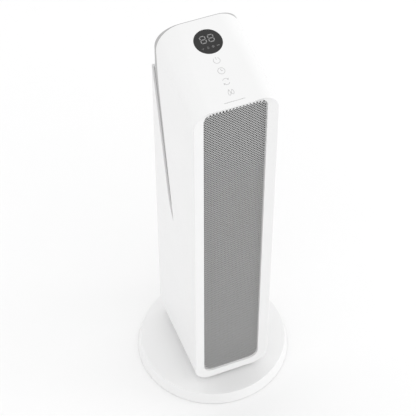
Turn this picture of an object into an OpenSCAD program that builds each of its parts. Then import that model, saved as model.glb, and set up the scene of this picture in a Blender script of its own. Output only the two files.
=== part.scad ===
// Ceramic tower fan heater: a slim white tower with a sloping touch panel on a round swivelling base.
// Origin: centre of the base on the floor. +Z is up, the air outlet faces -Y. Millimetres.

/* [Overall size] */
// Height of the rear top edge above the floor
total_h = 600; // [590:1:620]
// Width of the tower
body_w = 111; // [106:1:116]
// Distance from the swivel axis to the front face
front_reach = 73; // [72:0.5:76]
// Distance from the swivel axis to the rear face
rear_reach = 71.5; // [71:0.5:74]
// Distance from the swivel axis to the rear edge of the top panel
top_reach = 52; // [51:0.5:54]
// Drop of the top panel from its rear edge to its front edge
top_drop = 30; // [20:1:34]
// Corner radius of the tower, seen from the front
corner_r = 24; // [20:1:26]

/* [Base] */
// Diameter of the round base
base_d = 222; // [214:1:230]
// Height of the base's top surface
base_h = 18.7; // [18.5:0.1:19]
// Diameter of the base's flat top, which its sloping side runs down from
base_top_d = 213.4; // [208:0.2:220]
// Gap between the base and the tower
swivel_gap = 5.3; // [5:0.1:6]

/* [Shell] */
// Wall thickness of the outer shell
wall = 2.6; // [2.4:0.1:2.8]
// Width of the white rim beside the grille
rim_side = 14; // [10:0.5:15]
// Height of the white rim under the grille
rim_bottom = 11; // [7:0.5:12]
// Height of the white rim over the grille
rim_top = 4; // [3:0.1:4]
// Depth of the grille behind the front face
grille_depth = 5.5; // [5:0.5:9]
// Corner radius of the grille opening
opening_r = 14; // [11:1:16]
// Height of the step where the rear cover begins
step_z = 528; // [520:1:532]
// Height of the lower tip of the side slit
slit_tip_z = 296; // [290:1:302]

/* [Touch panel] */
// Diameter of the display window
display_d = 36; // [32:1:38]
// Distance of the display's centre from the panel's front edge
display_along = 94.7; // [92:0.1:98]
// Distance of the frontmost touch key from the panel's front edge
key_first = 19; // [17:0.1:20]
// Spacing of the touch keys
key_pitch = 15.8; // [15:0.1:16.5]
// Number of touch keys
key_count = 4; // [3:1:4]

/* [Air mover] */
// Diameter of the cross-flow wheel
wheel_d = 60; // [56:1:62]
// Number of blades on the wheel
blade_count = 24; // [18:1:30]
// Distance of the wheel's axis behind the swivel axis
wheel_y = 12; // [10:0.5:13]
// Sideways offset of the wheel's axis
wheel_x = 2; // [1:0.5:3]

/* [Swivel drive] */
// Gear module
gear_m = 1.25; // [1.25:0.25:1.25]
// Teeth of the fixed ring gear
ring_teeth = 48; // [48:1:48]
// Teeth of the motor pinion
pinion_teeth = 16; // [16:1:16]

/* [Hidden] */
$fn = 64;

white = [0.95, 0.95, 0.95];
pale_grey = [0.72, 0.72, 0.73];
mid_grey = [0.52, 0.53, 0.54];
dark_grey = [0.16, 0.16, 0.17];
steel = [0.66, 0.67, 0.69];
alloy = [0.78, 0.79, 0.8];
brass = [0.8, 0.65, 0.35];
ceramic = [0.86, 0.84, 0.78];
board_green = [0.1, 0.35, 0.2];
copper = [0.7, 0.42, 0.25];

slack = 0.2;          // gap between fixed neighbours
run_gap = 0.05;       // radial clearance of a running fit
over = 1;             // how far a cutter reaches past a face

// Tower
tower_z = base_h + swivel_gap;
front_y = -front_reach;
front_top_z = total_h - top_drop;
top_run = front_reach + top_reach;
slope = atan(top_drop / top_run);
open_w = body_w - 2 * rim_side;
open_z0 = tower_z + rim_bottom;
open_z1 = front_top_z - rim_top;
grille_y = front_y + grille_depth;
grille_t = 1.2;
frame_t = 3;
frame_y1 = grille_y + 2.4;
screen_t = 0.8;
screen_rim = 10;

// Rear of the shell: a curved upper edge that runs down into a slanting slit
edge_r = 520;
edge_top_z = total_h - 10;
edge_bend_z = edge_top_z - 100;
edge_lean = 100 / sqrt(edge_r * edge_r - 100 * 100);
function arc_y(z) = top_reach - edge_r + sqrt(edge_r * edge_r - pow(edge_top_z - z, 2));
function edge_y(z) = z > edge_bend_z ? arc_y(z) : arc_y(edge_bend_z) - (edge_bend_z - z) * edge_lean;
panel_t = 2.5;
panel_y = rear_reach - panel_t;
slit_tip = [edge_y(slit_tip_z), slit_tip_z];
slit_heel = [edge_y(slit_tip_z) + 14.5, slit_tip_z + 24];

// Grey housing inside the shell
housing_gap = wall + slack;
housing_t = 2;
housing_y0 = -30;
housing_y1 = 63;
housing_z0 = 114;
band_t = 2.4;
band_inset = 0.25;
band_reach = 58.5;        // rear face of the housing's upper end
band_drop = 5.1;          // how far its rear face comes forward at the top
band_bend_z = total_h - 30;
function band_y(z) = band_reach - band_drop * pow(max(0, z - band_bend_z) / (total_h - band_bend_z), 2);

// Intake opening in the rear cover and the filter cassette that fills it
bay_w = 80;
bay_z0 = 92;
bay_z1 = 500;
bay_gap = 0.4;
cassette_t = 6;
slot_w = 66;
slot_h = 7;
slot_pitch = 12;
screw_x = 47.5;
screw_heights = [62, 300, 512];

// Base
base_r = base_d / 2;
base_top_r = base_top_d / 2;
skirt_z = 0.6;            // lower edge of the base's side
foot_h = 1.6;
plate_t = 2.5;
plate_z1 = foot_h + plate_t;
base_wall = 2.6;
cover_z0 = base_h - 2.8;
function side_r(z) = base_r - (base_r - base_top_r) * (z - skirt_z) / (base_h - skirt_z);
plate_r = base_r - base_wall - 0.3;
feet_r = 88;
feet_count = 5;
foot_r = 9;
base_screw_r = 74;
ballast_r0 = 50;
ballast_r1 = base_r - 12;
ballast_h = 6;
journal_r = 30;
post_top_z = 39;
post_flange_r = 44;
post_flange_t = 3;
neck_r = 26;
post_bore_r = 12;
shoulder_z = 30.4;
gear_h = 6.6;
gland_z = 9.9;
gland_y = side_r(gland_z) - base_wall;
gland_r = 5;

// Tip-over switch
tip_x = -52;
tip_y = -52;
plunger_r = 4;
plunger_top = 9.2;
collar_r = 5.4;
spring_wire = 0.35;
spring_turns = 5;

// Swivel drive
hub_r = 38;
hub_plate_w = 60;
hub_plate_l = 112;
hub_t = 6;
hub_screw_x = 20;
hub_screw_y = 48;
ring_pitch_r = gear_m * ring_teeth / 2;
pinion_pitch_r = gear_m * pinion_teeth / 2;
gear_centres = ring_pitch_r + pinion_pitch_r;
swing_shaft_r = 2.5;
swing_bracket_z = 41;
swing_bracket_t = 2;
swing_motor_r = 14;
swing_motor_h = 19;

// Air mover
wheel_r = wheel_d / 2;
wheel_z0 = 150;
wheel_z1 = 440;
shaft_r = 3;
motor_r = 30;
motor_z0 = 76;
motor_z1 = 110;
rotor_r = 14;
motor_plate_t = 2.5;
upper_z0 = 446;
upper_t = 6;
bush_r = 7;
rubber_r = 11;
duct_z0 = motor_z1 + motor_plate_t + 1.5;
duct_z1 = upper_z0;
scroll_r = wheel_r + 3;
duct_t = 2;
outlet_y = -22;

// Heater
heater_w = 76;
heater_y0 = -44;
heater_y1 = outlet_y;
heater_z0 = 140;
heater_z1 = 440;
heater_open_w = 64;
heater_rim = 14;
fin_w = 16.5;
ptc_w = 3.5;
fin_depth = 14;
fin_y = (heater_y0 + heater_y1) / 2;
fin_rows = 24;
fin_z0 = heater_z0 + heater_rim;
fin_z1 = heater_z1 - heater_rim;

// Electronics
board_t = 1.6;
status_along = 6;
status_w = 27;
board_drop = 12.4;
board_w = 56;
board_along0 = 9;
board_along1 = 112;
power_y = -58;
power_z0 = 42;
power_z1 = 110;
switch_z = 54;
switch_w = 20;
switch_h = 13;
rocker_depth = 3.2;
rocker_tilt = 9;
rocker_pin_r = 1;

// ---------- shared shapes ----------

function arc(r, a0, a1, steps) =
    [for (i = [0 : steps]) let (a = a0 + (a1 - a0) * i / steps) [r * cos(a), r * sin(a)]];
function at(points, x, y) = [for (p = points) [p[0] + x, p[1] + y]];

// Rectangle with rounded corners, centred on x = 0, from z0 up to z1
function round_rect(w, z0, z1, r) = concat(
    at(arc(r, 0, 90, 12), w / 2 - r, z1 - r),
    at(arc(r, 90, 180, 12), -w / 2 + r, z1 - r),
    at(arc(r, 180, 270, 12), -w / 2 + r, z0 + r),
    at(arc(r, 270, 360, 12), w / 2 - r, z0 + r));

// Draws a front-view outline from y0 back to y1
module along_y(y0, y1) {
    translate([0, y1, 0]) rotate([90, 0, 0]) linear_extrude(y1 - y0) children();
}

// Draws a side-view outline (y to the right, z up) from x0 to x1
module along_x(x0, x1) {
    translate([x0, 0, 0]) rotate([90, 0, 90]) linear_extrude(x1 - x0) children();
}

// Puts its children on the sloping top panel: local y runs back along it, local z points out of it
module on_top(along, x = 0) {
    translate([x, front_y, front_top_z]) rotate([slope, 0, 0]) translate([0, along, 0]) children();
}

// The tower's outline as a solid, shrunk by inset, between two y planes
module sleeve(inset, y0, y1) {
    intersection() {
        along_y(y0, y1)
            polygon(round_rect(body_w - 2 * inset, tower_z + inset, total_h + 100, corner_r - inset));
        on_top(0) along_y(-total_h / 2, total_h / 2)
            polygon(round_rect(body_w - 2 * inset, -total_h - 100, -inset, corner_r - inset));
    }
}

module ring(r0, r1, h) {
    difference() {
        cylinder(r = r1, h = h);
        translate([0, 0, -over]) cylinder(r = r0, h = h + 2 * over);
    }
}

module on_circle(count, r, first = 0) {
    for (i = [0 : count - 1])
        rotate([0, 0, first + 360 * i / count]) translate([r, 0, 0]) children();
}

// Flat-headed screw pointing up, its head's face at z = 0
module screw(length, r = 1.5, head_r = 3, head_h = 1.6) {
    union() {
        cylinder(r = head_r, h = head_h);
        cylinder(r = r, h = length);
    }
}

// ---------- gears ----------

pressure = 20;
gear_backlash = 0.16;
function involute(a) = tan(a) * 180 / PI - a;
function flank_angle(r, rb) = involute(acos(min(1, rb / r)));
function tooth(teeth, m, r, rb) =
    90 / teeth - gear_backlash / (m * teeth) * 180 / PI + involute(pressure) - flank_angle(r, rb);
function gear_points(teeth, m) = let (
    rp = m * teeth / 2,
    rb = rp * cos(pressure),
    ra = rp + 0.9 * m,
    rf = rp - 1.2 * m,
    radii = [for (i = [0 : 4]) max(rb, rf) + (ra - max(rb, rf)) * i / 4])
    [for (t = [0 : teeth - 1]) each concat(
        [let (a = 360 * t / teeth - tooth(teeth, m, max(rb, rf), rb)) [rf * cos(a), rf * sin(a)]],
        [for (r = radii) let (a = 360 * t / teeth - tooth(teeth, m, r, rb)) [r * cos(a), r * sin(a)]],
        [for (i = [4 : -1 : 0]) let (r = radii[i], a = 360 * t / teeth + tooth(teeth, m, r, rb))
            [r * cos(a), r * sin(a)]],
        [let (a = 360 * t / teeth + tooth(teeth, m, max(rb, rf), rb)) [rf * cos(a), rf * sin(a)]])];

// ---------- base ----------

module base_profile() {
    polygon(concat(
        [[journal_r + slack, cover_z0], [journal_r + slack, base_h]],
        [for (d = [0.8, 0.3, 0]) [side_r(base_h - 0.8) - d, base_h - 0.8 + d]],
        [[base_r, skirt_z], [base_r - base_wall, skirt_z], [base_r - base_wall, plate_z1 + 0.5]],
        [[base_top_r - base_wall, cover_z0]]));
}

module base_cover() {
    color(white) difference() {
        union() {
            rotate_extrude($fn = 128) base_profile();
            on_circle(4, base_screw_r, 22.5) translate([0, 0, plate_z1])
                cylinder(r = 4.5, h = cover_z0 - plate_z1 + 1);
        }
        on_circle(4, base_screw_r, 22.5) translate([0, 0, plate_z1 - over]) cylinder(r = 1.5, h = 9);
        translate([0, base_r - 12, gland_z]) rotate([-90, 0, 0]) cylinder(r = gland_r, h = 20);
    }
}

module base_plate() {
    color(pale_grey) difference() {
        translate([0, 0, foot_h]) cylinder(r = plate_r, h = plate_t, $fn = 128);
        on_circle(feet_count, feet_r, 90) translate([0, 0, foot_h - over]) cylinder(r = foot_r, h = over + 1);
        on_circle(4, base_screw_r, 22.5) {
            translate([0, 0, foot_h - over]) cylinder(r = 3.2, h = over + 1.7);
            translate([0, 0, foot_h]) cylinder(r = 1.7, h = plate_t + over);
        }
        translate([tip_x, tip_y, 0]) cylinder(r = plunger_r + run_gap, h = 10);
    }
}

module ballast_ring() {
    color(steel) difference() {
        translate([0, 0, plate_z1]) ring(ballast_r0, ballast_r1, ballast_h);
        on_circle(4, base_screw_r, 22.5) cylinder(r = 6, h = 20);
        translate([tip_x, tip_y, 0]) cylinder(r = 15, h = 20);
        translate([-7, 30, 0]) cube([14, 90, 20]);
    }
}

module rubber_feet() {
    color(dark_grey) on_circle(feet_count, feet_r, 90) cylinder(r = foot_r, h = foot_h + 1);
}

module base_screws() {
    color(steel) on_circle(4, base_screw_r, 22.5) translate([0, 0, foot_h + 0.1]) screw(10);
}

module pivot_post() {
    color(pale_grey) difference() {
        union() {
            translate([0, 0, cover_z0 - post_flange_t]) cylinder(r = post_flange_r, h = post_flange_t);
            translate([0, 0, cover_z0 - post_flange_t])
                cylinder(r = journal_r, h = shoulder_z - cover_z0 + post_flange_t);
            translate([0, 0, shoulder_z - 1]) cylinder(r = neck_r, h = post_top_z - shoulder_z + 1);
        }
        cylinder(r = post_bore_r, h = post_top_z + over);
    }
}

module glide_ring() {
    color(dark_grey) translate([0, 0, base_h]) ring(journal_r + slack, hub_r + 3, swivel_gap);
}

module ring_gear() {
    color(pale_grey) translate([0, 0, shoulder_z]) difference() {
        linear_extrude(gear_h) polygon(gear_points(ring_teeth, gear_m));
        translate([0, 0, -over]) cylinder(r = neck_r, h = gear_h + 2 * over);
    }
}

module post_clip() {
    color(steel) translate([0, 0, shoulder_z + gear_h])
        ring(neck_r, neck_r + 2.4, post_top_z - shoulder_z - gear_h);
}

module cord_gland() {
    color(dark_grey) translate([0, 0, gland_z]) difference() {
        union() {
            translate([0, gland_y - 5.2, 0]) rotate([-90, 0, 0]) cylinder(r = gland_r + 0.7, h = 2.6);
            translate([0, gland_y - 2.8, 0]) rotate([-90, 0, 0]) cylinder(r = gland_r, h = base_wall + 2.2);
        }
        translate([0, base_r - 12, 0]) rotate([-90, 0, 0]) cylinder(r = 3.3, h = 20);
    }
}

module mains_lead_in() {
    lead_r = 2.8;
    color(white) union() {
        translate([0, 0, gland_z]) rotate([-90, 0, 0]) cylinder(r = lead_r, h = base_r - base_wall - 4);
        translate([0, 0, gland_z]) sphere(r = lead_r);
        translate([0, 0, gland_z]) cylinder(r = lead_r, h = post_top_z - gland_z + 4);
    }
}

module tip_switch_body() {
    color(dark_grey) difference() {
        translate([tip_x - 10, tip_y - 7, plate_z1]) cube([20, 14, cover_z0 - plate_z1 - slack]);
        translate([tip_x, tip_y, plate_z1 - over]) cylinder(r = collar_r + run_gap, h = 11);
    }
}

module tip_plunger() {
    color(white) translate([tip_x, tip_y, 0]) union() {
        cylinder(r = plunger_r, h = plunger_top);
        translate([0, 0, plunger_top - 1.2]) cylinder(r = collar_r, h = 1.2);
    }
}

// Coil swept as one tube of eight sides
module tip_spring() {
    sides = 8;
    steps = 16 * spring_turns;
    coil_r = 3;
    low = plunger_top + spring_wire;
    high = plate_z1 + 10 - spring_wire;
    pts = [for (i = [0 : steps], j = [0 : sides - 1]) let (
        a = 360 * spring_turns * i / steps,
        b = 360 * j / sides,
        r = coil_r + spring_wire * cos(b))
        [r * cos(a), r * sin(a), low + (high - low) * i / steps + spring_wire * sin(b)]];
    skin = [for (i = [0 : steps - 1], j = [0 : sides - 1]) let (k = (j + 1) % sides)
        [i * sides + j, i * sides + k, (i + 1) * sides + k, (i + 1) * sides + j]];
    ends = [[for (j = [sides - 1 : -1 : 0]) j], [for (j = [0 : sides - 1]) steps * sides + j]];
    color(steel) translate([tip_x, tip_y, 0]) polyhedron(pts, concat(skin, ends));
}

// ---------- tower shell ----------

// Side-view outline of what is cut away behind the shell: the slit and the space over the step
module rear_cut_outline() {
    steps = 12;
    front_edge = [for (i = [0 : steps]) let (z = slit_tip_z + (total_h + 20 - slit_tip_z) * i / steps)
        [z > edge_top_z ? top_reach : edge_y(z), z]];
    polygon(concat(front_edge, [[150, total_h + 20], [150, step_z], [panel_y, step_z], slit_heel]));
}

module front_shell() {
    color(white) difference() {
        union() {
            difference() {
                sleeve(0, front_y, panel_y);
                sleeve(wall, front_y + wall, panel_y + over);
            }
            board_posts();
            rear_bosses();
        }
        along_y(front_y - over, front_y + wall + over)
            polygon(round_rect(open_w, open_z0, open_z1, opening_r));
        along_x(-body_w, body_w) rear_cut_outline();
        translate([0, 0, tower_z - over]) cylinder(r = hub_r + slack, h = wall + 2 * over);
        hub_screw_spots() translate([0, 0, tower_z - over]) cylinder(r = 1.55, h = wall + 2 * over);
        on_top(display_along) translate([0, 0, -10]) cylinder(r = display_d / 2, h = 20);
        on_top(status_along) translate([-status_w / 2, 0, -10]) cube([status_w, 0.9, 20]);
        key_spots() translate([0, 0, -0.3]) cylinder(r = 4.6, h = over + 0.3);
    }
}

module key_spots() {
    for (i = [0 : key_count - 1]) on_top(key_first + i * key_pitch) children();
}

module board_posts() {
    for (x = [-1, 1], along = [board_along0 + 5, board_along1 - 5])
        on_top(along, x * (board_w / 2 - 4)) translate([0, 0, -board_drop])
            cylinder(r = 2.6, h = board_drop - wall + 0.5);
}

// Bosses on the side walls that take the rear cover's screws
module rear_bosses() {
    for (x = [-1, 1], z = screw_heights)
        difference() {
            translate([x * screw_x, housing_y1 + 0.4, z]) rotate([-90, 0, 0])
                cylinder(r = 5.4, h = panel_y - housing_y1 - 0.4);
            translate([x * (body_w / 2 + 50 - 0.5), 0, z]) cube([100, 300, 30], center = true);
            translate([x * screw_x, 0, z]) rotate([-90, 0, 0]) cylinder(r = 1.6, h = 100);
        }
}

module grille_frame() {
    color(white) difference() {
        intersection() {
            along_y(front_y + wall, frame_y1) polygon(round_rect(
                open_w + 2 * frame_t, open_z0 - frame_t, open_z1 + frame_t, opening_r + frame_t));
            sleeve(wall, front_y, frame_y1 + over);
        }
        along_y(front_y, frame_y1 + over) polygon(round_rect(open_w, open_z0, open_z1, opening_r));
    }
}

module front_grille() {
    cols = 4;
    rows = 20;
    margin = 7;
    bar = 2;
    cell_w = (open_w - 2 * margin - (cols - 1) * bar) / cols;
    cell_h = (open_z1 - open_z0 - 4 * margin - (rows - 1) * bar) / rows;
    color(mid_grey) along_y(grille_y, grille_y + grille_t) difference() {
        polygon(round_rect(open_w - 0.1, open_z0 + 0.05, open_z1 - 0.05, opening_r));
        for (i = [0 : cols - 1], j = [0 : rows - 1])
            translate([-open_w / 2 + margin + i * (cell_w + bar), open_z0 + 2 * margin + j * (cell_h + bar)])
                square([cell_w, cell_h]);
    }
}

// Dark dust screen that lies against the back of the front grille
module air_screen() {
    rows = 24;
    bar = 1.5;
    window_h = (open_z1 - open_z0 - 2 * screen_rim - (rows - 1) * bar) / rows;
    color(dark_grey) along_y(grille_y + grille_t, grille_y + grille_t + screen_t) difference() {
        polygon(round_rect(open_w - 0.1, open_z0 + 0.05, open_z1 - 0.05, opening_r));
        for (j = [0 : rows - 1], x = [screen_rim - open_w / 2, bar / 2])
            translate([x, open_z0 + screen_rim + j * (window_h + bar)])
                square([open_w / 2 - screen_rim - bar / 2, window_h]);
    }
}

module inner_housing() {
    inner = housing_gap + housing_t;
    color(pale_grey) union() {
        difference() {
            intersection() {
                sleeve(housing_gap, housing_y0, housing_y1);
                translate([-body_w, -200, housing_z0]) cube([2 * body_w, 400, total_h]);
            }
            sleeve(inner, housing_y0 - over, housing_y1 + over);
            translate([-body_w, top_reach, step_z - wall - slack]) cube([2 * body_w, 100, total_h]);
            on_top(board_along0 - 10) translate([-board_w / 2 - 2, 0, -20])
                cube([board_w + 4, board_along1 + 4, 40]);
        }
        difference() {
            intersection() {
                sleeve(band_inset, housing_y0, housing_y1);
                along_x(-body_w, body_w) band_outline(0);
            }
            intersection() {
                sleeve(inner, housing_y0 - over, housing_y1 + over);
                along_x(-body_w, body_w) band_outline(band_t);
            }
        }
    }
}

// Side-view outline of the housing's upper end, its rear face moved forward by depth
module band_outline(depth) {
    steps = 10;
    low_z = step_z + slack;
    heights = [for (i = [0 : steps]) low_z + (total_h - low_z) * i / steps];
    polygon(concat(
        [for (z = heights) [min(edge_y(z), top_reach) + 0.1 - (depth > 0 ? over : 0), z]],
        [for (i = [steps : -1 : 0]) [band_y(heights[i]) - depth, heights[i]]]));
}

module rear_cover() {
    color(white) difference() {
        union() {
            intersection() {
                along_y(panel_y, rear_reach) polygon(round_rect(body_w, tower_z, step_z + 60, corner_r));
                translate([-body_w, 0, 0]) cube([2 * body_w, 100, step_z]);
            }
            translate([-body_w / 2 + housing_gap, top_reach + slack, step_z - wall])
                cube([body_w - 2 * housing_gap, panel_y - top_reach, wall]);
        }
        along_y(panel_y - over, rear_reach + over) polygon(round_rect(bay_w, bay_z0, bay_z1, 8));
        translate([-switch_w / 2, panel_y - over, switch_z - switch_h / 2]) cube([switch_w, 10, switch_h]);
        for (x = [-1, 1], z = screw_heights) translate([x * screw_x, 0, z]) rotate([-90, 0, 0]) {
            cylinder(r = 1.7, h = 100);
            translate([0, 0, rear_reach - 1.7]) cylinder(r = 3.1, h = 10);
        }
    }
}

module rear_screws() {
    for (x = [-1, 1], z = screw_heights)
        color(steel) translate([x * screw_x, rear_reach - 0.1, z]) rotate([90, 0, 0]) screw(7.5);
}

module display_window() {
    color(dark_grey) on_top(display_along) translate([0, 0, -wall]) cylinder(r = display_d / 2, h = wall);
}

module display_module() {
    color([0.9, 0.9, 0.88]) on_top(display_along) translate([-13, -12, -board_drop])
        cube([26, 24, board_drop - wall - 0.4]);
}

module display_board() {
    color(board_green) on_top(board_along0) translate([-board_w / 2, 0, -board_drop - board_t])
        cube([board_w, board_along1 - board_along0, board_t]);
}

module touch_icons() {
    color(pale_grey) key_spots() translate([0, 0, -0.3]) cylinder(r = 4.6, h = 0.3);
}

module touch_springs() {
    color(steel) key_spots() translate([0, 0, -board_drop]) ring(2.6, 3.2, board_drop - wall);
}

module status_window() {
    color(pale_grey) on_top(status_along) translate([-status_w / 2, 0, -wall]) cube([status_w, 0.9, wall]);
}

// ---------- swivel ----------

module hub_screw_spots() {
    for (x = [-1, 1], y = [-1, 1]) translate([x * hub_screw_x, y * hub_screw_y, 0]) children();
}

module swivel_hub() {
    color(pale_grey) difference() {
        union() {
            translate([0, 0, tower_z]) cylinder(r = hub_r, h = hub_t);
            translate([-hub_plate_w / 2, -hub_plate_l / 2, tower_z + wall])
                cube([hub_plate_w, hub_plate_l, hub_t - wall]);
        }
        translate([0, 0, tower_z - over]) cylinder(r = journal_r + run_gap, h = hub_t + 2 * over);
        hub_screw_spots() translate([0, 0, tower_z]) cylinder(r = 1.6, h = hub_t + over);
    }
}

module hub_screws() {
    color(steel) hub_screw_spots() translate([0, 0, tower_z + hub_t + 1.6]) mirror([0, 0, 1]) screw(7);
}

module swing_bracket() {
    color(steel) difference() {
        union() {
            translate([-45, gear_centres - 16, swing_bracket_z]) cube([90, 32, swing_bracket_t]);
            for (x = [-29, 27]) translate([x, gear_centres + 10, tower_z + hub_t])
                cube([2, 6, swing_bracket_z - tower_z - hub_t + 1]);
        }
        translate([0, gear_centres, swing_bracket_z - over]) cylinder(r = swing_shaft_r + run_gap, h = 10);
    }
}

module swing_motor() {
    color(alloy) translate([0, gear_centres, swing_bracket_z + swing_bracket_t]) difference() {
        cylinder(r = swing_motor_r, h = swing_motor_h);
        translate([0, 0, -over]) cylinder(r = swing_shaft_r + run_gap, h = 14 + over);
    }
}

module swing_pinion() {
    color(white) translate([0, gear_centres, shoulder_z + 0.2]) difference() {
        rotate([0, 0, 180 / pinion_teeth]) linear_extrude(gear_h) polygon(gear_points(pinion_teeth, gear_m));
        translate([0, 0, -over]) cylinder(r = swing_shaft_r, h = gear_h + 2 * over);
    }
}

module swing_shaft() {
    color(steel) translate([0, gear_centres, shoulder_z + 0.2]) cylinder(r = swing_shaft_r, h = 24);
}

// ---------- air mover ----------

module at_wheel(z) {
    translate([wheel_x, wheel_y, z]) children();
}

module motor_bracket() {
    color(steel) difference() {
        translate([-50, -20, motor_z1]) cube([100, 70, motor_plate_t]);
        at_wheel(motor_z1 - over) cylinder(r = 9, h = 10);
    }
}

module fan_motor() {
    color(alloy) at_wheel(motor_z0) difference() {
        cylinder(r = motor_r, h = motor_z1 - motor_z0);
        translate([0, 0, 3]) cylinder(r = rotor_r + 0.5, h = motor_z1 - motor_z0 - 6);
        translate([0, 0, -over]) cylinder(r = shaft_r + run_gap, h = 50);
    }
}

module motor_rotor() {
    color(copper) at_wheel(motor_z0 + 5) ring(shaft_r, rotor_r, motor_z1 - motor_z0 - 10);
}

module fan_shaft() {
    color(steel) at_wheel(motor_z0 - 2) cylinder(r = shaft_r, h = upper_z0 + upper_t - motor_z0 + 4);
}

module fan_wheel() {
    disc_t = 2;
    levels = 4;
    level_h = (wheel_z1 - wheel_z0 - disc_t) / levels;
    color(dark_grey) at_wheel(wheel_z0) difference() {
        union() {
            for (i = [0, levels]) translate([0, 0, i * level_h]) cylinder(r = wheel_r, h = disc_t);
            for (i = [1 : levels - 1]) translate([0, 0, i * level_h]) ring(wheel_r - 9, wheel_r, disc_t);
            for (i = [0 : blade_count - 1])
                rotate([0, 0, 360 * i / blade_count]) translate([wheel_r - 5, 0, 0]) rotate([0, 0, 35])
                    translate([-4, -0.5, 0.5]) cube([8, 1, wheel_z1 - wheel_z0 - 1]);
        }
        translate([0, 0, -over]) cylinder(r = shaft_r, h = 400);
    }
}

module upper_bearing() {
    color(brass) at_wheel(upper_z0) ring(shaft_r + run_gap, bush_r, upper_t);
}

module bearing_rubber() {
    color(dark_grey) at_wheel(upper_z0) ring(bush_r, rubber_r, upper_t);
}

module upper_bracket() {
    color(steel) difference() {
        translate([-50, -20, upper_z0]) cube([100, 70, upper_t]);
        at_wheel(upper_z0 - over) cylinder(r = rubber_r, h = 20);
    }
}

// Curved guide wall round the left of the wheel, ending beside the heater
module scroll_duct() {
    color(dark_grey) at_wheel(duct_z0) linear_extrude(duct_z1 - duct_z0) polygon(concat(
        arc(scroll_r, 100, 180, 16),
        [[-scroll_r, outlet_y - wheel_y], [-scroll_r - duct_t, outlet_y - wheel_y]],
        arc(scroll_r + duct_t, 180, 100, 16)));
}

// Short wall on the right that splits the stream from the wheel
module duct_tongue() {
    color(dark_grey) at_wheel(duct_z0) linear_extrude(duct_z1 - duct_z0) polygon([
        [wheel_r + 2, 6],
        [wheel_r + 4, 8],
        [wheel_r + 6, outlet_y - wheel_y],
        [wheel_r + 4, outlet_y - wheel_y]]);
}

// ---------- heater ----------

module heater_frame() {
    color([0.25, 0.24, 0.22]) translate([wheel_x, 0, 0]) difference() {
        translate([-heater_w / 2, heater_y0, heater_z0])
            cube([heater_w, heater_y1 - heater_y0, heater_z1 - heater_z0]);
        translate([-heater_open_w / 2, heater_y0 - over, fin_z0]) cube([heater_open_w, 60, fin_z1 - fin_z0]);
    }
}

module heater_fins() {
    pitch = fin_w + ptc_w;
    step = (fin_z1 - fin_z0 - 1.2) / fin_rows;
    color(alloy) for (c = [-1 : 1]) translate([wheel_x + c * pitch, 0, 0])
        along_y(fin_y - fin_depth / 2, fin_y + fin_depth / 2) {
            for (x = [-fin_w / 2, fin_w / 2 - 0.8])
                translate([x, fin_z0 + 0.1]) square([0.8, fin_z1 - fin_z0 - 0.2]);
            for (i = [0 : fin_rows])
                translate([-fin_w / 2 + 0.4, fin_z0 + 0.1 + i * step]) square([fin_w - 0.8, 1]);
        }
}

module ptc_elements() {
    pitch = fin_w + ptc_w;
    color(ceramic) for (c = [-1.5 : 1.5])
        translate([wheel_x + c * pitch - ptc_w / 2, fin_y - 6, fin_z0 + 0.1])
            cube([ptc_w, 12, fin_z1 - fin_z0 - 0.2]);
}

module heater_terminals() {
    pitch = fin_w + ptc_w;
    color(brass) for (c = [-1.5 : 1.5])
        translate([wheel_x + c * pitch - 3, heater_y0 - 3, fin_z1 + 2]) cube([6, 3, 8]);
}

module thermal_cutout() {
    color(dark_grey) translate([wheel_x - 18, fin_y, heater_z1]) union() {
        cylinder(r = 8, h = 4);
        translate([0, 0, 3]) cylinder(r = 5.5, h = 2.6);
    }
}

module thermal_fuse() {
    color(alloy) translate([wheel_x + 12, fin_y, heater_z1 + 2.2]) rotate([0, 90, 0]) union() {
        translate([0, 0, -8]) cylinder(r = 2.2, h = 16);
        translate([0, 0, -14]) cylinder(r = 0.6, h = 28);
    }
}

// ---------- electronics ----------

module power_board() {
    color(board_green) translate([-42, power_y, power_z0]) cube([84, board_t, power_z1 - power_z0]);
}

module board_parts() {
    back = power_y + board_t;
    color(dark_grey) {
        for (x = [-30, -10]) translate([x, back, power_z0 + 38]) cube([15, 12, 19]);
        translate([14, back, power_z0 + 32]) cube([22, 18, 26]);
        translate([24, back + 8, power_z0 + 6]) cylinder(r = 8, h = 22);
        for (x = [-32, -18, -4]) translate([x, back, power_z0 + 8]) cube([10, 9, 12]);
    }
}

module wiring_loom() {
    for (i = [0 : 3])
        color([[0.75, 0.12, 0.1], [0.1, 0.2, 0.6], white, dark_grey][i])
            translate([-46, -40 + 3.4 * i, power_z0 + 4]) cylinder(r = 1.4, h = 470, $fn = 16);
}

module switch_housing() {
    back = 12;
    color(dark_grey) difference() {
        union() {
            translate([-switch_w / 2, rear_reach - back, switch_z - switch_h / 2])
                cube([switch_w, back, switch_h]);
            translate([-switch_w / 2 + 2, rear_reach - back - 5, switch_z - 1.5]) cube([2, 6, 3]);
            translate([switch_w / 2 - 4, rear_reach - back - 5, switch_z - 1.5]) cube([2, 6, 3]);
        }
        translate([-switch_w / 2 + 1.5, rear_reach - 8.5, switch_z - switch_h / 2 + 1.5])
            cube([switch_w - 3, 20, switch_h - 3]);
        translate([0, rear_reach - rocker_depth, switch_z - 6.1])
            cylinder(r = rocker_pin_r + run_gap, h = 12.2);
    }
}

// Rocker on its pivot pin, tilted to its off position
module rocker() {
    half = (switch_w - 5) / 2;
    color(dark_grey) translate([0, rear_reach - rocker_depth, switch_z]) rotate([0, 0, rocker_tilt]) union() {
        linear_extrude(switch_h - 4.4, center = true)
            polygon([
                [-half, 1.6], [-half, 3.2], [0, 2], [half, 3.2], [half, 1.6], [2.4, -3.4], [-2.4, -3.4]]);
        cylinder(r = rocker_pin_r, h = 12, center = true);
    }
}

// ---------- filter cassette ----------

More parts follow.
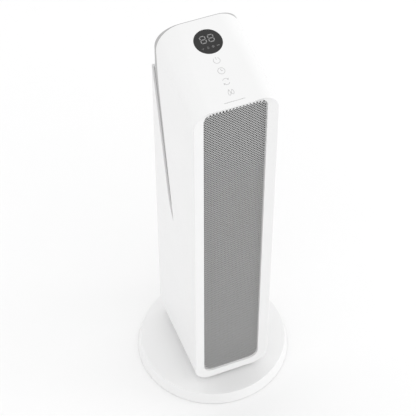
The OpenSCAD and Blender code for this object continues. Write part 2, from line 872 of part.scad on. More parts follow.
module intake_grille() {
    rows = floor((bay_z1 - bay_z0 - 30) / slot_pitch);
    low = (bay_z0 + bay_z1 - rows * slot_pitch + slot_pitch - slot_h) / 2;
    color(white) along_y(panel_y, rear_reach) difference() {
        polygon(round_rect(bay_w - 2 * bay_gap, bay_z0 + bay_gap, bay_z1 - bay_gap, 8 - bay_gap));
        for (i = [0 : rows - 1]) translate([-slot_w / 2, low + i * slot_pitch]) square([slot_w, slot_h]);
    }
}

module filter_frame() {
    color(mid_grey) along_y(panel_y - cassette_t, panel_y) difference() {
        polygon(round_rect(bay_w - 4, bay_z0 + 2, bay_z1 - 2, 6));
        for (z = [0 : 2]) let (h = (bay_z1 - bay_z0 - 20) / 3)
            translate([-slot_w / 2, bay_z0 + 8 + z * (h + 2)]) square([slot_w, h]);
    }
}

module filter_mesh() {
    color(dark_grey) along_y(panel_y - cassette_t - 1, panel_y - cassette_t)
        polygon(round_rect(bay_w - 6, bay_z0 + 3, bay_z1 - 3, 5));
}

base_cover();
base_plate();
ballast_ring();
rubber_feet();
base_screws();
pivot_post();
glide_ring();
ring_gear();
post_clip();
cord_gland();
mains_lead_in();
tip_switch_body();
tip_plunger();
tip_spring();
front_shell();
grille_frame();
front_grille();
air_screen();
inner_housing();
rear_cover();
rear_screws();
display_window();
display_module();
display_board();
touch_icons();
touch_springs();
status_window();
swivel_hub();
hub_screws();
swing_bracket();
swing_motor();
swing_pinion();
swing_shaft();
motor_bracket();
fan_motor();
motor_rotor();
fan_shaft();
fan_wheel();
upper_bearing();
bearing_rubber();
upper_bracket();
scroll_duct();
duct_tongue();
heater_frame();
heater_fins();
ptc_elements();
heater_terminals();
thermal_cutout();
thermal_fuse();
power_board();
board_parts();
wiring_loom();
switch_housing();
rocker();
intake_grille();
filter_frame();
filter_mesh();
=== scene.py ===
"""Looks of the ceramic tower fan heater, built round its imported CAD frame.

Metres throughout, in the CAD's frame: the base stands on z = 0 and the air outlet faces -Y.
"""

import math

import bmesh
import bpy
import numpy as np
from mathutils import Matrix, Vector


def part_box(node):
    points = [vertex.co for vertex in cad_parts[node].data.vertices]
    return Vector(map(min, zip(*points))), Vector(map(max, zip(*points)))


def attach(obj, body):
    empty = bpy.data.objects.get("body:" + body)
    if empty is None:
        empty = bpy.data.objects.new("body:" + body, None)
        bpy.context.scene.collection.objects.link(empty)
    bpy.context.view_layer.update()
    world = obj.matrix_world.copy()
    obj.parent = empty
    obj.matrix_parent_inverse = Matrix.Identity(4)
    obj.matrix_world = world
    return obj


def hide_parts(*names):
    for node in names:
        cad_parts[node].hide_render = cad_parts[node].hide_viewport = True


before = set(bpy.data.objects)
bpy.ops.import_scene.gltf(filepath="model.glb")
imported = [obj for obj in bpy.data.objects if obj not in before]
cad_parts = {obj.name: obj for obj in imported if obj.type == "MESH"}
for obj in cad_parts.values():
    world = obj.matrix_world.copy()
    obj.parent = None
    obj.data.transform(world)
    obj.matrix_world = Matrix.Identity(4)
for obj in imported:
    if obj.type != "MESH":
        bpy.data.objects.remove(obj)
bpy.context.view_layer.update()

MM = 0.001

# ---------- sizes that come from the frame ----------

shell_low, shell_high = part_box("front_shell")
grille_low, grille_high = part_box("front_grille")
cover_low, cover_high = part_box("rear_cover")
intake_low, intake_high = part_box("intake_grille")
band_low, band_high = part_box("inner_housing")
base_low, base_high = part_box("base_cover")
screws_low, screws_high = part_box("rear_screws")

BODY_W = shell_high.x - shell_low.x
TOWER_Z = shell_low.z
FRONT_Y = shell_low.y
PANEL_Y = shell_high.y
REAR_Y = cover_high.y
TOTAL_H = shell_high.z
STEP_Z = cover_high.z
GRILLE_Y = grille_low.y
OPEN_W = grille_high.x - grille_low.x
OPEN_Z0 = grille_low.z
OPEN_Z1 = grille_high.z

# ---------- sizes of the tower ----------

CORNER_R = 24 * MM
WALL = 2.6 * MM
TOP_REACH = 52 * MM
TOP_DROP = 30 * MM
FRONT_TOP_Z = TOTAL_H - TOP_DROP
TILT = math.atan(TOP_DROP / (TOP_REACH - FRONT_Y))
OPENING_R = 14 * MM
CROWN_R = 8 * MM  # how much the top corners' radius grows from depth CROWN_Y to the rear edge
CROWN_Y = -10 * MM
RIM_DEPTH = 2.5 * MM
RIM_EDGE_R = 1.25 * MM
LIP_DEPTH = 2.4 * MM
SLIT_TIP_Z = 296 * MM
SLIT_HEEL_RUN = 10 * MM
EDGE_R = 520 * MM
EDGE_BEND = 100 * MM
EDGE_TOP_Z = TOTAL_H - 10 * MM
BAND_INSET = 0.25 * MM
BAND_REACH = 58.5 * MM
BAND_DROP = 5.1 * MM
BAND_BEND_Z = TOTAL_H - 30 * MM

# ---------- sizes of the touch panel ----------

DISPLAY_R = 18 * MM
DISPLAY_ALONG = 94.7 * MM
KEY_FIRST = 19 * MM
KEY_PITCH = 15.8 * MM
STATUS_ALONG = 6.45 * MM
STATUS_W = 27 * MM
STATUS_H = 0.9 * MM

# ---------- sizes of the base ----------

BASE_TOP_R = 106.7 * MM
BASE_WALL = 2.6 * MM
BASE_BORE_R = 30.2 * MM

# ---------- mesh helpers ----------


def tidy_mesh(name, verts, faces):
    """A mesh with joined points, no empty faces and normals that point outward."""
    merge = 1e-7
    mesh = bpy.data.meshes.new(name)
    mesh.from_pydata([tuple(v) for v in verts], [], [tuple(f) for f in faces])
    work = bmesh.new()
    work.from_mesh(mesh)
    bmesh.ops.remove_doubles(work, verts=work.verts, dist=merge)
    bmesh.ops.dissolve_degenerate(work, edges=work.edges, dist=merge)
    bmesh.ops.recalc_face_normals(work, faces=work.faces)
    work.to_mesh(mesh)
    work.free()
    return mesh


def linked(name, data):
    """A new object in the scene."""
    made = bpy.data.objects.new(name, data)
    bpy.context.scene.collection.objects.link(made)
    return made


def place_mesh(name, mesh, body, slot, replaces=(), material=None):
    """Makes a mesh a piece that rides on a body and stands for CAD nodes."""
    piece = linked(name, mesh)
    mesh.materials.clear()
    mesh.materials.append(material or SLOTS[slot])
    mesh.shade_smooth()
    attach(piece, body)
    if replaces:
        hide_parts(*replaces)
    return piece


def even_shading(piece):
    """Evens the shading of the piece's flat faces."""
    even = piece.modifiers.new("even_shading", "WEIGHTED_NORMAL")
    even.keep_sharp = True


def soften(piece, width, segments=2, angle=50, weld=False):
    """Rounds the piece's sharp edges and evens the shading of its flat faces."""
    if weld:
        weld_points = piece.modifiers.new("join_points", "WELD")
        weld_points.merge_threshold = 1e-6
    edges = piece.modifiers.new("round_edges", "BEVEL")
    edges.width = width
    edges.segments = segments
    edges.limit_method = "ANGLE"
    edges.angle_limit = math.radians(angle)
    even_shading(piece)


def cut(mesh, *cutters):
    """The mesh with closed cutter meshes taken away."""
    target = linked("cut_target", mesh)
    tools = [linked("cut_tool", cutter) for cutter in cutters]
    for tool in tools:
        step = target.modifiers.new("cut", "BOOLEAN")
        step.operation = "DIFFERENCE"
        step.solver = "EXACT"
        step.object = tool
    evaluated = target.evaluated_get(bpy.context.evaluated_depsgraph_get())
    result = bpy.data.meshes.new_from_object(evaluated)
    for item in [target, *tools]:
        bpy.data.objects.remove(item)
    return result


def joined(name, *meshes):
    """One mesh of several separate shells."""
    work = bmesh.new()
    for mesh in meshes:
        work.from_mesh(mesh)
    result = bpy.data.meshes.new(name)
    work.to_mesh(result)
    work.free()
    return result


def between_grids(outer, inner, index=None, keep=None, closed=True):
    """Points and faces of a closed wall between two matching grids of points."""
    rows, cols = outer.shape[:2]
    if index is None:
        index = np.arange(rows * cols).reshape(rows, cols)
    behind = rows * cols
    faces = []
    for i in range(rows if closed else rows - 1):
        for j in range(cols - 1):
            if keep is not None and not keep[i, j]:
                continue
            k = (i + 1) % rows
            loop = [index[i, j], index[k, j], index[k, j + 1], index[i, j + 1]]
            loop = [v for n, v in enumerate(loop) if v != loop[n - 1]]
            if len(loop) > 2:
                faces.append(loop)
    directed = {(f[n - 1], f[n]) for f in faces for n in range(len(f))}
    rim = [(b, a, a + behind, b + behind) for a, b in directed if (b, a) not in directed]
    backs = [[v + behind for v in reversed(f)] for f in faces]
    verts = np.concatenate([outer.reshape(-1, 3), inner.reshape(-1, 3)])
    return verts, faces + backs + sorted(rim)


def rungs(start, count):
    """Faces between the two halves of a ring whose points mirror each other from end to end."""
    last = start + count - 1
    return [(start + i, start + i + 1, last - 1 - i, last - i) for i in range(count // 2 - 1)]


def loft(name, loops, closed_ends=True, mirrored=False):
    """A closed skin through rings of points that match one to one."""
    count = len(loops[0])
    faces = []
    for s in range(len(loops) - 1):
        for i in range(count):
            k = (i + 1) % count
            a, b = s * count, (s + 1) * count
            faces.append((a + i, a + k, b + k, b + i))
    if mirrored:
        faces += rungs(0, count) + rungs((len(loops) - 1) * count, count)
    elif closed_ends:
        faces.append(tuple(range(count)))
        faces.append(tuple(reversed(range((len(loops) - 1) * count, len(loops) * count))))
    return tidy_mesh(name, np.concatenate(loops), faces)


def lathe(name, profile, steps=96, closed=False):
    """A profile of (radius, height) turned about Z. A closed profile makes a ring."""
    angles = np.linspace(0, 2 * math.pi, steps, endpoint=False)
    rings = [[(r * math.cos(a), r * math.sin(a), z) for a in angles] for r, z in profile]
    if closed:
        rings.append(rings[0])
    return loft(name, [np.array(r) for r in rings], closed_ends=not closed)


def arc(cx, cy, r, start, end, steps):
    """Points round part of a circle, angles in degrees."""
    angles = np.radians(np.linspace(start, end, steps + 1))
    return [(cx + r * math.cos(a), cy + r * math.sin(a)) for a in angles]


def quarter_round(r, steps):
    """How far in from the side and down from the face each point of a rounded edge lies."""
    angles = np.radians(np.linspace(0, 90, steps + 1))
    return [(r * (1 - math.cos(a)), r * (1 - math.sin(a))) for a in angles]


def rounded_box(w, h, r, steps=6):
    """A rectangle with round corners about the origin."""
    x, y = w / 2 - r, h / 2 - r
    return (
        arc(x, y, r, 0, 90, steps)
        + arc(-x, y, r, 90, 180, steps)
        + arc(-x, -y, r, 180, 270, steps)
        + arc(x, -y, r, 270, 360, steps)
    )


def prism(name, points, low, high):
    """A flat outline in x and y drawn out from low to high along Z."""
    return loft(name, [np.array([(x, y, z) for x, y in points]) for z in (low, high)])


def front_view(mesh):
    """Stands a mesh drawn in x and y up, so that its y is the frame's z and its z runs forward."""
    mesh.transform(Matrix(((1, 0, 0, 0), (0, 0, -1, 0), (0, 1, 0, 0), (0, 0, 0, 1))))
    mesh.update()
    return mesh


def on_panel(mesh, along):
    """Moves a mesh drawn flat at the origin on to the sloping top panel, along from its front edge."""
    turn = Matrix.Rotation(TILT, 4, "X")
    front = Matrix.Translation((0, FRONT_Y, FRONT_TOP_Z))
    mesh.transform(front @ turn @ Matrix.Translation((0, along, 0)))
    mesh.update()
    return mesh


def ribbon(path, width, low, high, closed=False):
    """A flat stroke of even width along a path, as a thin closed solid."""
    points = np.array(path, float)
    count = len(points)
    sides = []
    for i in range(count):
        before = points[i - 1] if closed or i else points[i]
        after = points[(i + 1) % count] if closed or i < count - 1 else points[i]
        one = points[i] - before
        two = after - points[i]
        one = one / (np.linalg.norm(one) or 1)
        two = two / (np.linalg.norm(two) or 1)
        way = one + two
        way = way / np.linalg.norm(way)
        normal = np.array([-way[1], way[0]])
        bend = max(0.5, abs(float(way @ (two if two.any() else one))))
        sides.append((points[i] + normal * width / 2 / bend, points[i] - normal * width / 2 / bend))
    rings = [[(*a, high), (*b, high), (*b, low), (*a, low)] for a, b in sides]
    if closed:
        rings.append(rings[0])
    return loft("stroke", [np.array(r) for r in rings], closed_ends=not closed)


# ---------- materials ----------


class Finish:
    """A node material whose colour, roughness and bump vary over the object's own space."""

    def __init__(self, name, colour, roughness, **sockets):
        self.material = bpy.data.materials.new(name)
        self.material.use_nodes = True
        self.tree = self.material.node_tree
        self.shader = self.tree.nodes["Principled BSDF"]
        self.shader.inputs["Base Color"].default_value = (*colour, 1)
        self.shader.inputs["Roughness"].default_value = roughness
        for socket, value in sockets.items():
            self.shader.inputs[socket.replace("_", " ")].default_value = value
        self.coordinates = self.node("ShaderNodeTexCoord").outputs["Object"]

    def node(self, kind, links=None, **settings):
        """A new node, with its inputs linked or set."""
        made = self.tree.nodes.new(kind)
        for key, value in settings.items():
            setattr(made, key, value)
        for socket, value in (links or {}).items():
            if isinstance(value, bpy.types.NodeSocket):
                self.tree.links.new(value, made.inputs[socket])
            else:
                made.inputs[socket].default_value = value
        return made

    def stretched(self, x, y, z):
        """The object's own coordinates, scaled along each axis."""
        links = {"Vector": self.coordinates, "Scale": (x, y, z)}
        return self.node("ShaderNodeMapping", links).outputs[0]

    def noise(self, size, detail=3.0, vector=None):
        """Soft noise whose lumps are about size metres across."""
        links = {"Vector": vector or self.coordinates, "Scale": 1 / size, "Detail": detail}
        return self.node("ShaderNodeTexNoise", links).outputs["Fac"]

    def spread(self, value, low, high, start=0.3, end=0.7):
        """The value from start to end, stretched from low to high."""
        links = {"Value": value, "From Min": start, "From Max": end, "To Min": low, "To Max": high}
        return self.node("ShaderNodeMapRange", links).outputs["Result"]

    def colours(self, value, low, high, start=0.3, end=0.7):
        """The base colour, blended from low to high as the value goes from start to end."""
        ramp = self.node("ShaderNodeValToRGB", {"Fac": value})
        ramp.color_ramp.interpolation = "EASE"
        for point, position, colour in zip(ramp.color_ramp.elements, (start, end), (low, high)):
            point.position = position
            point.color = (*colour, 1)
        self.tree.links.new(ramp.outputs["Color"], self.shader.inputs["Base Color"])

    def rough(self, value, low, high):
        """The roughness, from low to high with the value."""
        self.tree.links.new(self.spread(value, low, high), self.shader.inputs["Roughness"])

    def relief(self, value, depth):
        """A bump of this depth in metres."""
        links = {"Height": value, "Strength": 1.0, "Distance": depth}
        bump = self.node("ShaderNodeBump", links)
        self.tree.links.new(bump.outputs["Normal"], self.shader.inputs["Normal"])


def grey(value):
    """A grey with this share of white in every channel."""
    return (value, value, value)


def varied(colour, shift):
    """A darker and a lighter version of a colour."""
    return tuple(c * (1 - shift) for c in colour), tuple(min(1.0, c * (1 + shift)) for c in colour)


def moulded(name, colour, low, high, grain, depth, shift):
    """Moulded plastic: a fine spark-eroded grain, faint flow marks and uneven gloss."""
    finish = Finish(name, colour, (low + high) / 2)
    finish.colours(finish.noise(60 * MM, 2.0), *varied(colour, shift), start=0.35, end=0.65)
    finish.rough(finish.noise(7 * MM, 4.0), low, high)
    finish.relief(finish.noise(grain, 2.0), depth)
    return finish.material


def metal(name, colour, low, high, brushed):
    """Bare metal with rolling or brushing lines along one axis."""
    finish = Finish(name, colour, (low + high) / 2, Metallic=1.0)
    lines = finish.noise(0.5 * MM, 3.0, finish.stretched(*brushed))
    finish.colours(finish.noise(9 * MM, 3.0), *varied(colour, 0.06))
    finish.rough(lines, low, high)
    finish.relief(lines, 0.01 * MM)
    return finish.material


def powder_coat():
    """Grey powder coating on perforated steel: orange peel over a fine metallic fleck."""
    finish = Finish("powder_coated_steel", grey(0.46), 0.42, Metallic=0.25)
    fleck = finish.noise(0.35 * MM, 1.0)
    finish.colours(fleck, grey(0.42), grey(0.48))
    finish.rough(finish.noise(2 * MM, 2.0), 0.36, 0.5)
    finish.relief(finish.noise(0.8 * MM, 2.0), 0.02 * MM)
    return finish.material


def display_lens():
    """Smoked gloss lens with the faintest moulding ripple."""
    finish = Finish("smoked_lens", grey(0.012), 0.08, IOR=1.45)
    finish.colours(finish.noise(20 * MM, 1.0), grey(0.011), grey(0.014))
    finish.rough(finish.noise(5 * MM, 3.0), 0.05, 0.12)
    finish.relief(finish.noise(9 * MM, 1.0), 0.01 * MM)
    return finish.material


def print_ink(name, colour):
    """Screen-printed ink: matt, with the edge of its mesh showing as a fine grain."""
    finish = Finish(name, colour, 0.55)
    finish.colours(finish.noise(0.3 * MM, 2.0), *varied(colour, 0.05))
    finish.rough(finish.noise(0.5 * MM, 2.0), 0.5, 0.65)
    finish.relief(finish.noise(0.25 * MM, 1.0), 0.005 * MM)
    return finish.material


def ceramic():
    """Unglazed ceramic: speckled, chalky and very slightly pitted."""
    finish = Finish("ptc_ceramic", (0.72, 0.69, 0.6), 0.8)
    speck = finish.noise(0.6 * MM, 5.0)
    finish.colours(speck, (0.62, 0.59, 0.5), (0.76, 0.73, 0.65), start=0.35, end=0.6)
    finish.rough(finish.noise(2 * MM), 0.7, 0.9)
    finish.relief(speck, 0.03 * MM)
    return finish.material


def circuit_board():
    """Green solder mask over copper traces that show as slightly raised lines."""
    finish = Finish("solder_mask", (0.02, 0.12, 0.05), 0.35)
    links = {"Vector": finish.coordinates, "Scale": 280.0}
    cells = finish.node("ShaderNodeTexVoronoi", links, feature="DISTANCE_TO_EDGE", distance="CHEBYCHEV")
    trace = finish.spread(cells.outputs["Distance"], 0, 1, 0.08, 0.14)
    finish.colours(trace, (0.05, 0.2, 0.08), (0.015, 0.1, 0.04), start=0.2, end=0.8)
    finish.rough(finish.noise(3 * MM), 0.28, 0.45)
    finish.relief(trace, -0.02 * MM)
    return finish.material


def rubber():
    """Matt black rubber with a dusty bloom."""
    finish = Finish("rubber", grey(0.03), 0.75, Sheen_Weight=0.15, Sheen_Roughness=0.5)
    finish.colours(finish.noise(4 * MM, 4.0), grey(0.022), grey(0.04))
    finish.rough(finish.noise(2 * MM), 0.68, 0.85)
    finish.relief(finish.noise(0.7 * MM, 3.0), 0.03 * MM)
    return finish.material


def filter_net():
    """Dark woven nylon thread."""
    finish = Finish("nylon_net", grey(0.07), 0.6, Sheen_Weight=0.2)
    twist = finish.noise(0.4 * MM, 2.0, finish.stretched(1, 1, 2.5))
    finish.colours(twist, grey(0.055), grey(0.09))
    finish.rough(twist, 0.5, 0.7)
    finish.relief(twist, 0.03 * MM)
    return finish.material


def cast_iron():
    """Dark lacquered casting with a sandy skin."""
    finish = Finish("cast_ballast", grey(0.05), 0.6, Metallic=0.4)
    sand = finish.noise(1.2 * MM, 6.0)
    finish.colours(sand, grey(0.035), grey(0.07))
    finish.rough(sand, 0.5, 0.75)
    finish.relief(sand, 0.12 * MM)
    return finish.material


SLOTS = {
    "white_shell": moulded("white_gloss_plastic", grey(0.82), 0.28, 0.38, 0.9 * MM, 0.004 * MM, 0.004),
    "grey_plastic": moulded("light_grey_plastic", grey(0.43), 0.42, 0.55, 0.6 * MM, 0.015 * MM, 0.015),
    "black_plastic": moulded("black_plastic", grey(0.025), 0.4, 0.55, 0.7 * MM, 0.02 * MM, 0.15),
    "white_pom": moulded("white_acetal", (0.82, 0.82, 0.79), 0.3, 0.42, 0.8 * MM, 0.01 * MM, 0.015),
    "mica": moulded("heat_resistant_frame", (0.05, 0.045, 0.04), 0.6, 0.8, 1.0 * MM, 0.04 * MM, 0.2),
    "wire_insulation": moulded(
        "wire_insulation", (0.35, 0.03, 0.025), 0.4, 0.5, 1.5 * MM, 0.01 * MM, 0.08
    ),
    "steel": metal("zinc_plated_steel", grey(0.55), 0.25, 0.42, brushed=(1, 1, 0.1)),
    "aluminium": metal("plain_aluminium", grey(0.68), 0.25, 0.4, brushed=(0.1, 1, 1)),
    "brass": metal("brass", (0.66, 0.48, 0.2), 0.25, 0.4, brushed=(1, 1, 1)),
    "grille_metal": powder_coat(),
    "display_glass": display_lens(),
    "filter_cloth": filter_net(),
    "light_grey_print": print_ink("pale_grey_ink", grey(0.5)),
    "rubber": rubber(),
    "cast_ballast": cast_iron(),
    "ceramic": ceramic(),
    "circuit_board": circuit_board(),
}
GUIDE = print_ink("pale_light_guide", grey(0.68))
SEGMENT = print_ink("display_segment", grey(0.3))
SYMBOL = print_ink("display_symbol", grey(0.2))

# ---------- the tower's outline ----------


class Outline:
    """Points round the tower seen from the front, each with a centre and a way out from it.

    A point that hangs follows the sloping top, the others stay at their height.
    """

    def __init__(self):
        self.rows = []

    def add(self, cx, cz, ux, uz, hangs=False):
        """One point, from its corner's centre and the unit way out."""
        self.rows.append((cx, cz, ux, uz, hangs))

    def corner(self, cx, cz, start, end, steps, hangs=False):
        """The points of a round corner, angles in degrees."""
        for a in np.radians(np.linspace(start, end, steps + 1)):
            self.add(cx, cz, math.cos(a), math.sin(a), hangs)

    def at(self, y, inset):
        """Points at depth y and inset inward, each a number or one value for each point."""
        cx, cz, ux, uz, hangs = np.array(self.rows, float).T
        top = FRONT_TOP_Z + (y - FRONT_Y) * math.tan(TILT)
        share = np.clip((y - CROWN_Y) / (TOP_REACH - CROWN_Y), 0, 1)
        radius = CORNER_R + CROWN_R * hangs * share**2 * (3 - 2 * share)
        reach = radius - inset
        x = cx * (BODY_W / 2 - radius) / (BODY_W / 2 - CORNER_R) + reach * ux
        z = np.where(hangs > 0, top - (radius - reach * uz) / math.cos(TILT), cz + reach * uz)
        return np.stack([x, y + 0 * x, z], axis=-1)


SIDE_X = BODY_W / 2 - CORNER_R
LOW_Z = TOWER_Z + CORNER_R
ARC_STEPS = 16


def edge_y(z):
    """Depth of the shell's rear edge: upright at the top, then curving into a straight slant."""
    bend_z = EDGE_TOP_Z - EDGE_BEND
    across = math.sqrt(EDGE_R**2 - EDGE_BEND**2)
    drop = np.clip(EDGE_TOP_Z - z, 0, EDGE_BEND)
    curved = TOP_REACH - EDGE_R + np.sqrt(EDGE_R**2 - drop**2)
    return curved - np.clip(bend_z - z, 0, None) * EDGE_BEND / across


def slit_rear_y(z):
    """Depth of the slit's rear side: a round heel over the tip, then a straight slant to the step."""
    heel_y = 14.4 * MM
    lean = 0.236
    line = heel_y + (z - SLIT_TIP_Z) * lean
    return line - (heel_y - edge_y(SLIT_TIP_Z)) * np.exp(-(z - SLIT_TIP_Z) / SLIT_HEEL_RUN)


def side_rows():
    """Heights of the points up a side, closer together round the slit's tip."""
    below = np.linspace(LOW_Z + 14 * MM, SLIT_TIP_Z - 10 * MM, 9)
    tip = SLIT_TIP_Z + np.array([0, 0.7, 2, 4, 7, 11, 16, 22, 30, 40]) * MM
    above = np.linspace(SLIT_TIP_Z + 56 * MM, STEP_Z, 12)
    return [*below, *tip, *above]


def tower_outline():
    """The shell's outline, anticlockwise from the middle of its lower edge."""
    outline = Outline()
    flats = np.linspace(-SIDE_X, SIDE_X, 7)[1:-1]
    heights = side_rows()
    for x in flats:
        outline.add(x, LOW_Z, 0, -1)
    outline.corner(SIDE_X, LOW_Z, -90, 0, ARC_STEPS)
    for z in heights:
        outline.add(SIDE_X, z, 1, 0)
    outline.corner(SIDE_X, 0, 0, 90, ARC_STEPS, hangs=True)
    for x in flats[::-1]:
        outline.add(x, 0, 0, 1, hangs=True)
    outline.corner(-SIDE_X, 0, 90, 180, ARC_STEPS, hangs=True)
    for z in heights[::-1]:
        outline.add(-SIDE_X, z, -1, 0)
    outline.corner(-SIDE_X, LOW_Z, 180, 270, ARC_STEPS)
    return outline


def opening_at(outline, y):
    """Where each point of the outline meets the edge of the air outlet."""
    cx, cz, ux, uz, hangs = np.array(outline.rows, float).T
    half = OPEN_W / 2 - OPENING_R
    low = OPEN_Z0 + OPENING_R
    high = OPEN_Z1 - OPENING_R
    outer_high = FRONT_TOP_Z - CORNER_R / math.cos(TILT)
    side = (cz - LOW_Z) / (outer_high - LOW_Z)
    z = np.where(hangs > 0, high, low + side * (high - low)) + OPENING_R * uz
    x = cx * half / SIDE_X + OPENING_R * ux
    return np.stack([x, y + 0 * x, z], axis=-1)


# ---------- white shell ----------


def cells_round_slit(height, hangs, columns, gap):
    """Point numbers and cells of the shell's wall, with column gap open from the slit's tip up."""
    count = len(height)
    slack = 1e-9
    solid = ~hangs & (height <= SLIT_TIP_Z + slack)
    index = np.arange(count * columns).reshape(count, columns)
    index[solid, gap + 1] = index[solid, gap]
    keep = np.ones((count, columns - 1), bool)
    for i in range(count):
        k = (i + 1) % count
        under_step = max(height[i], height[k]) <= STEP_Z + slack
        keep[i, gap] = solid[i] and solid[k]
        keep[i, gap + 1 :] = under_step and not (hangs[i] or hangs[k])
    return index, keep


def shell_mesh():
    """The white shell: one wall from the outlet's lip round the rim and back along the tower."""
    outline = tower_outline()
    hangs = np.array([row[4] for row in outline.rows])
    height = outline.at(0.0, 0.0)[:, 2]

    lip_y = GRILLE_Y + LIP_DEPTH
    rim_y = FRONT_Y + RIM_DEPTH
    mouth = opening_at(outline, rim_y)
    edge = outline.at(FRONT_Y, 0.0)
    span = np.linalg.norm((mouth - edge)[:, [0, 2]], axis=1)
    lean = np.arctan2(RIM_DEPTH, span - RIM_EDGE_R)

    def across(d, y):
        """Points a distance d from the outer edge towards the outlet, at depth y."""
        start = outline.at(y, 0.0)
        share = (d / span)[:, None]
        found = start + (mouth - start) * share
        found[:, 1] = y
        return found

    outer = [opening_at(outline, lip_y), opening_at(outline, (lip_y + rim_y) / 2), mouth]
    turn = math.pi / 2 + lean
    round_d = RIM_EDGE_R * (1 - np.cos(turn))
    round_y = FRONT_Y + RIM_EDGE_R * (1 - np.sin(turn))
    for t in (0.12, 0.4, 0.7, 0.93):
        outer.append(across(span + (round_d - span) * t, rim_y + (round_y - rim_y) * t))
    for t in np.linspace(1, 0, 8):
        round_d = RIM_EDGE_R * (1 - np.cos(turn * t))
        outer.append(across(round_d, FRONT_Y + RIM_EDGE_R * (1 - np.sin(turn * t))))
    rim_columns = len(outer)

    edge_at = np.where(height > SLIT_TIP_Z, edge_y(height), edge_y(SLIT_TIP_Z))
    for _ in range(6):
        edge_at = np.where(hangs, edge_y(outline.at(edge_at, 0.0)[:, 2]), edge_at)
    slit_at = np.where(height > SLIT_TIP_Z, slit_rear_y(height), edge_at)

    side_start = FRONT_Y + RIM_EDGE_R
    front_shares = np.array([0.02, 0.2, 0.4, 0.6, 0.8, 0.97, 1.0])
    rear_shares = np.array([0.0, 0.03, 0.35, 0.7, 1.0])
    for t in front_shares:
        outer.append(outline.at(side_start + (edge_at - side_start) * t, 0.0))
    for t in rear_shares:
        outer.append(outline.at(slit_at + (PANEL_Y - slit_at) * t, 0.0))

    room = np.clip((span - 2 * WALL) / WALL, 0, 1)
    lip_d = np.maximum(WALL, span - WALL)
    turn_y = lip_y + (rim_y + WALL - lip_y) * room
    corner_y = lip_y + (FRONT_Y + WALL + 0.7 * MM - lip_y) * room
    inner = [across(lip_d, lip_y + (turn_y - lip_y) * t) for t in (0.0, 0.5, 1.0)]
    for t in np.linspace(0, 1, rim_columns - 2)[1:]:
        inner.append(across(lip_d + (WALL - lip_d) * t, turn_y + (corner_y - turn_y) * t))
    for t in front_shares:
        inner.append(outline.at(corner_y + (edge_at - corner_y) * t, WALL))
    for t in rear_shares:
        inner.append(outline.at(slit_at + (PANEL_Y - slit_at) * t, WALL))

    outer = np.stack(outer, axis=1)
    inner = np.stack(inner, axis=1)
    gap = rim_columns + len(front_shares) - 1
    index, keep = cells_round_slit(height, hangs, outer.shape[1], gap)
    return tidy_mesh("shell", *between_grids(outer, inner, index, keep))


def shell():
    """The shell as a piece, with the display's hole and the status light's slot."""
    reach = 12 * MM
    hole = on_panel(lathe("hole", [(DISPLAY_R, -reach), (DISPLAY_R, reach)], 96), DISPLAY_ALONG)
    round_end = rounded_box(STATUS_W, STATUS_H, STATUS_H / 2.01, 5)
    slot = on_panel(prism("slot", round_end, -reach, reach), STATUS_ALONG)
    mesh = cut(shell_mesh(), hole, slot)
    piece = place_mesh("shell", mesh, "tower", "white_shell", ["front_shell", "grille_frame"])
    soften(piece, 0.3 * MM)


# ---------- perforated outlet grille ----------


